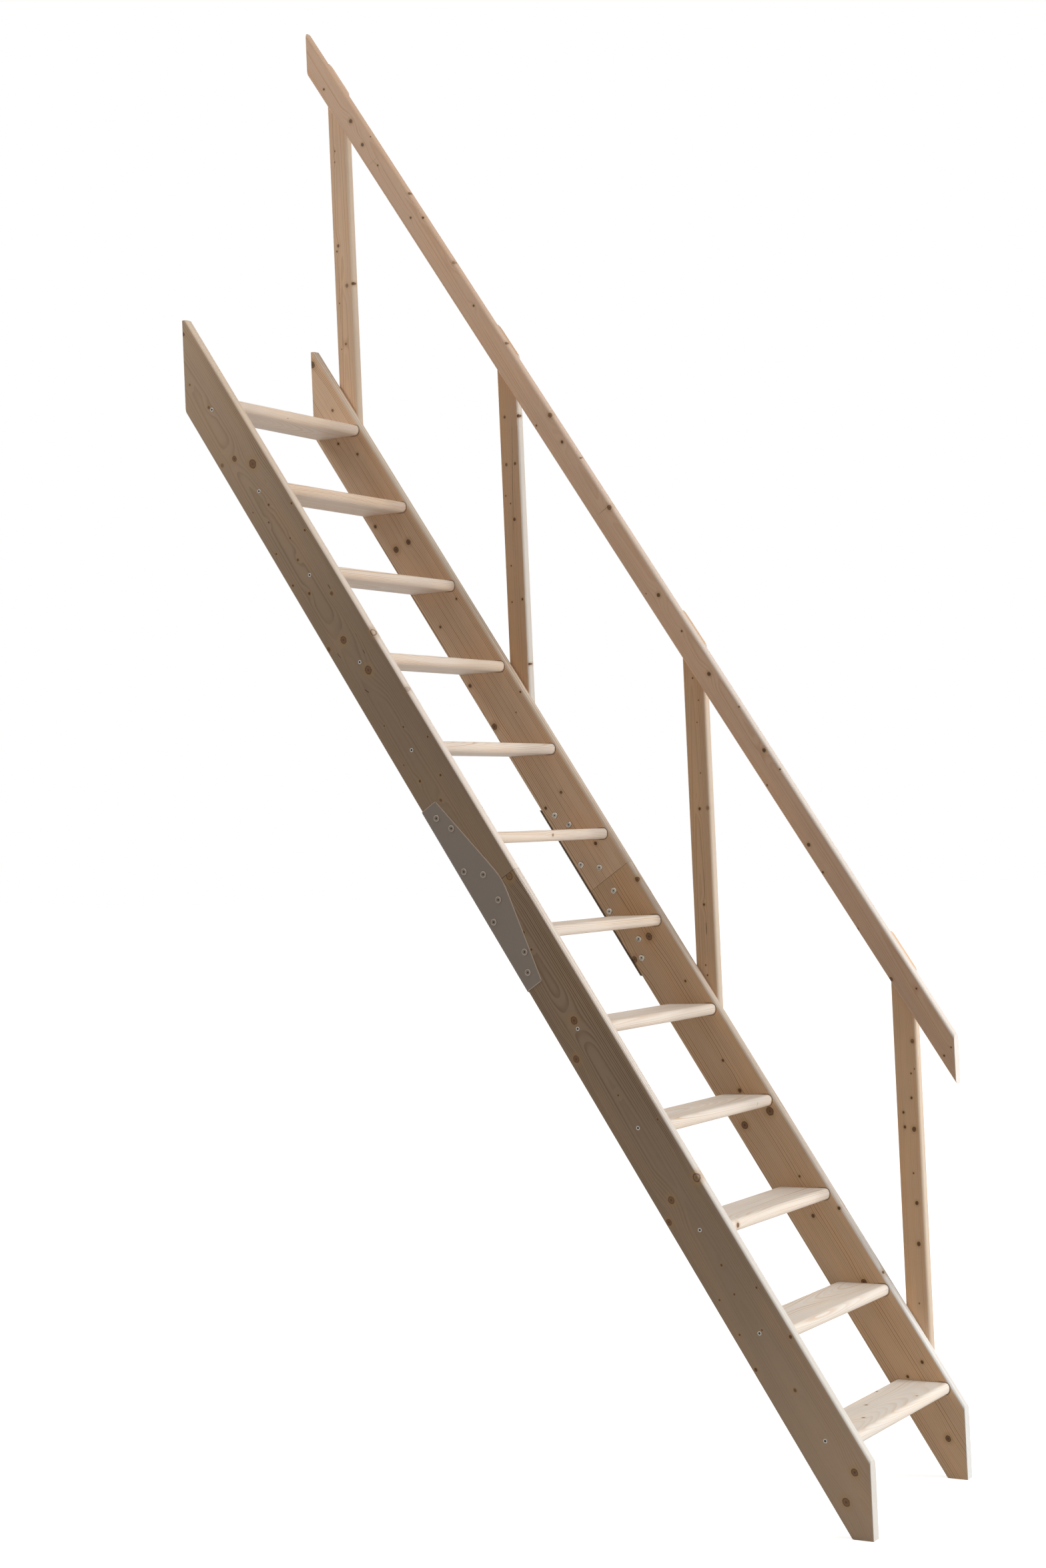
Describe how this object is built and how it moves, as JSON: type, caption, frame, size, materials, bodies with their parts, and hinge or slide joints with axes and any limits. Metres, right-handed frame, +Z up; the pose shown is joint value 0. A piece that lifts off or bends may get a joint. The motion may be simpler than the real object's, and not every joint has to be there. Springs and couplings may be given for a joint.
{
  "type": "space-saving staircase",
  "caption": "Steep straight wooden flight with open risers, housed treads between two jointed stringers and a handrail on posts along one side.",
  "frame": {"origin": "middle of the vertical bearing face at the top of the left stringer, where the flight leans on the upper floor's edge", "axes": "+X across the flight to the climber's right, +Y level in the direction of climbing, +Z up"},
  "size_m": [0.6326, 1.824, 3.8955],
  "materials": {
    "stringer_wood": "planed, untreated softwood",
    "tread_wood": "planed, untreated softwood",
    "rail_wood": "planed, untreated softwood",
    "plate_paint": "matt powder coat",
    "zinc_steel": "zinc plated"
  },
  "bodies": {
    "root": {"left_stringer_upper": "stringer_wood", "left_stringer_lower": "stringer_wood", "right_stringer_upper": "stringer_wood", "right_stringer_lower": "stringer_wood", "tread_01": "tread_wood", "tread_02": "tread_wood", "tread_03": "tread_wood", "tread_04": "tread_wood", "tread_05": "tread_wood", "tread_06": "tread_wood", "tread_07": "tread_wood", "tread_08": "tread_wood", "tread_09": "tread_wood", "tread_10": "tread_wood", "tread_11": "tread_wood", "tread_12": "tread_wood", "handrail": "rail_wood", "post_1": "rail_wood", "post_2": "rail_wood", "post_3": "rail_wood", "post_4": "rail_wood", "left_joint_plate": "plate_paint", "right_joint_plate": "plate_paint", "left_plate_bolts": "zinc_steel", "right_plate_bolts": "zinc_steel"}
  },
  "joints": []
}
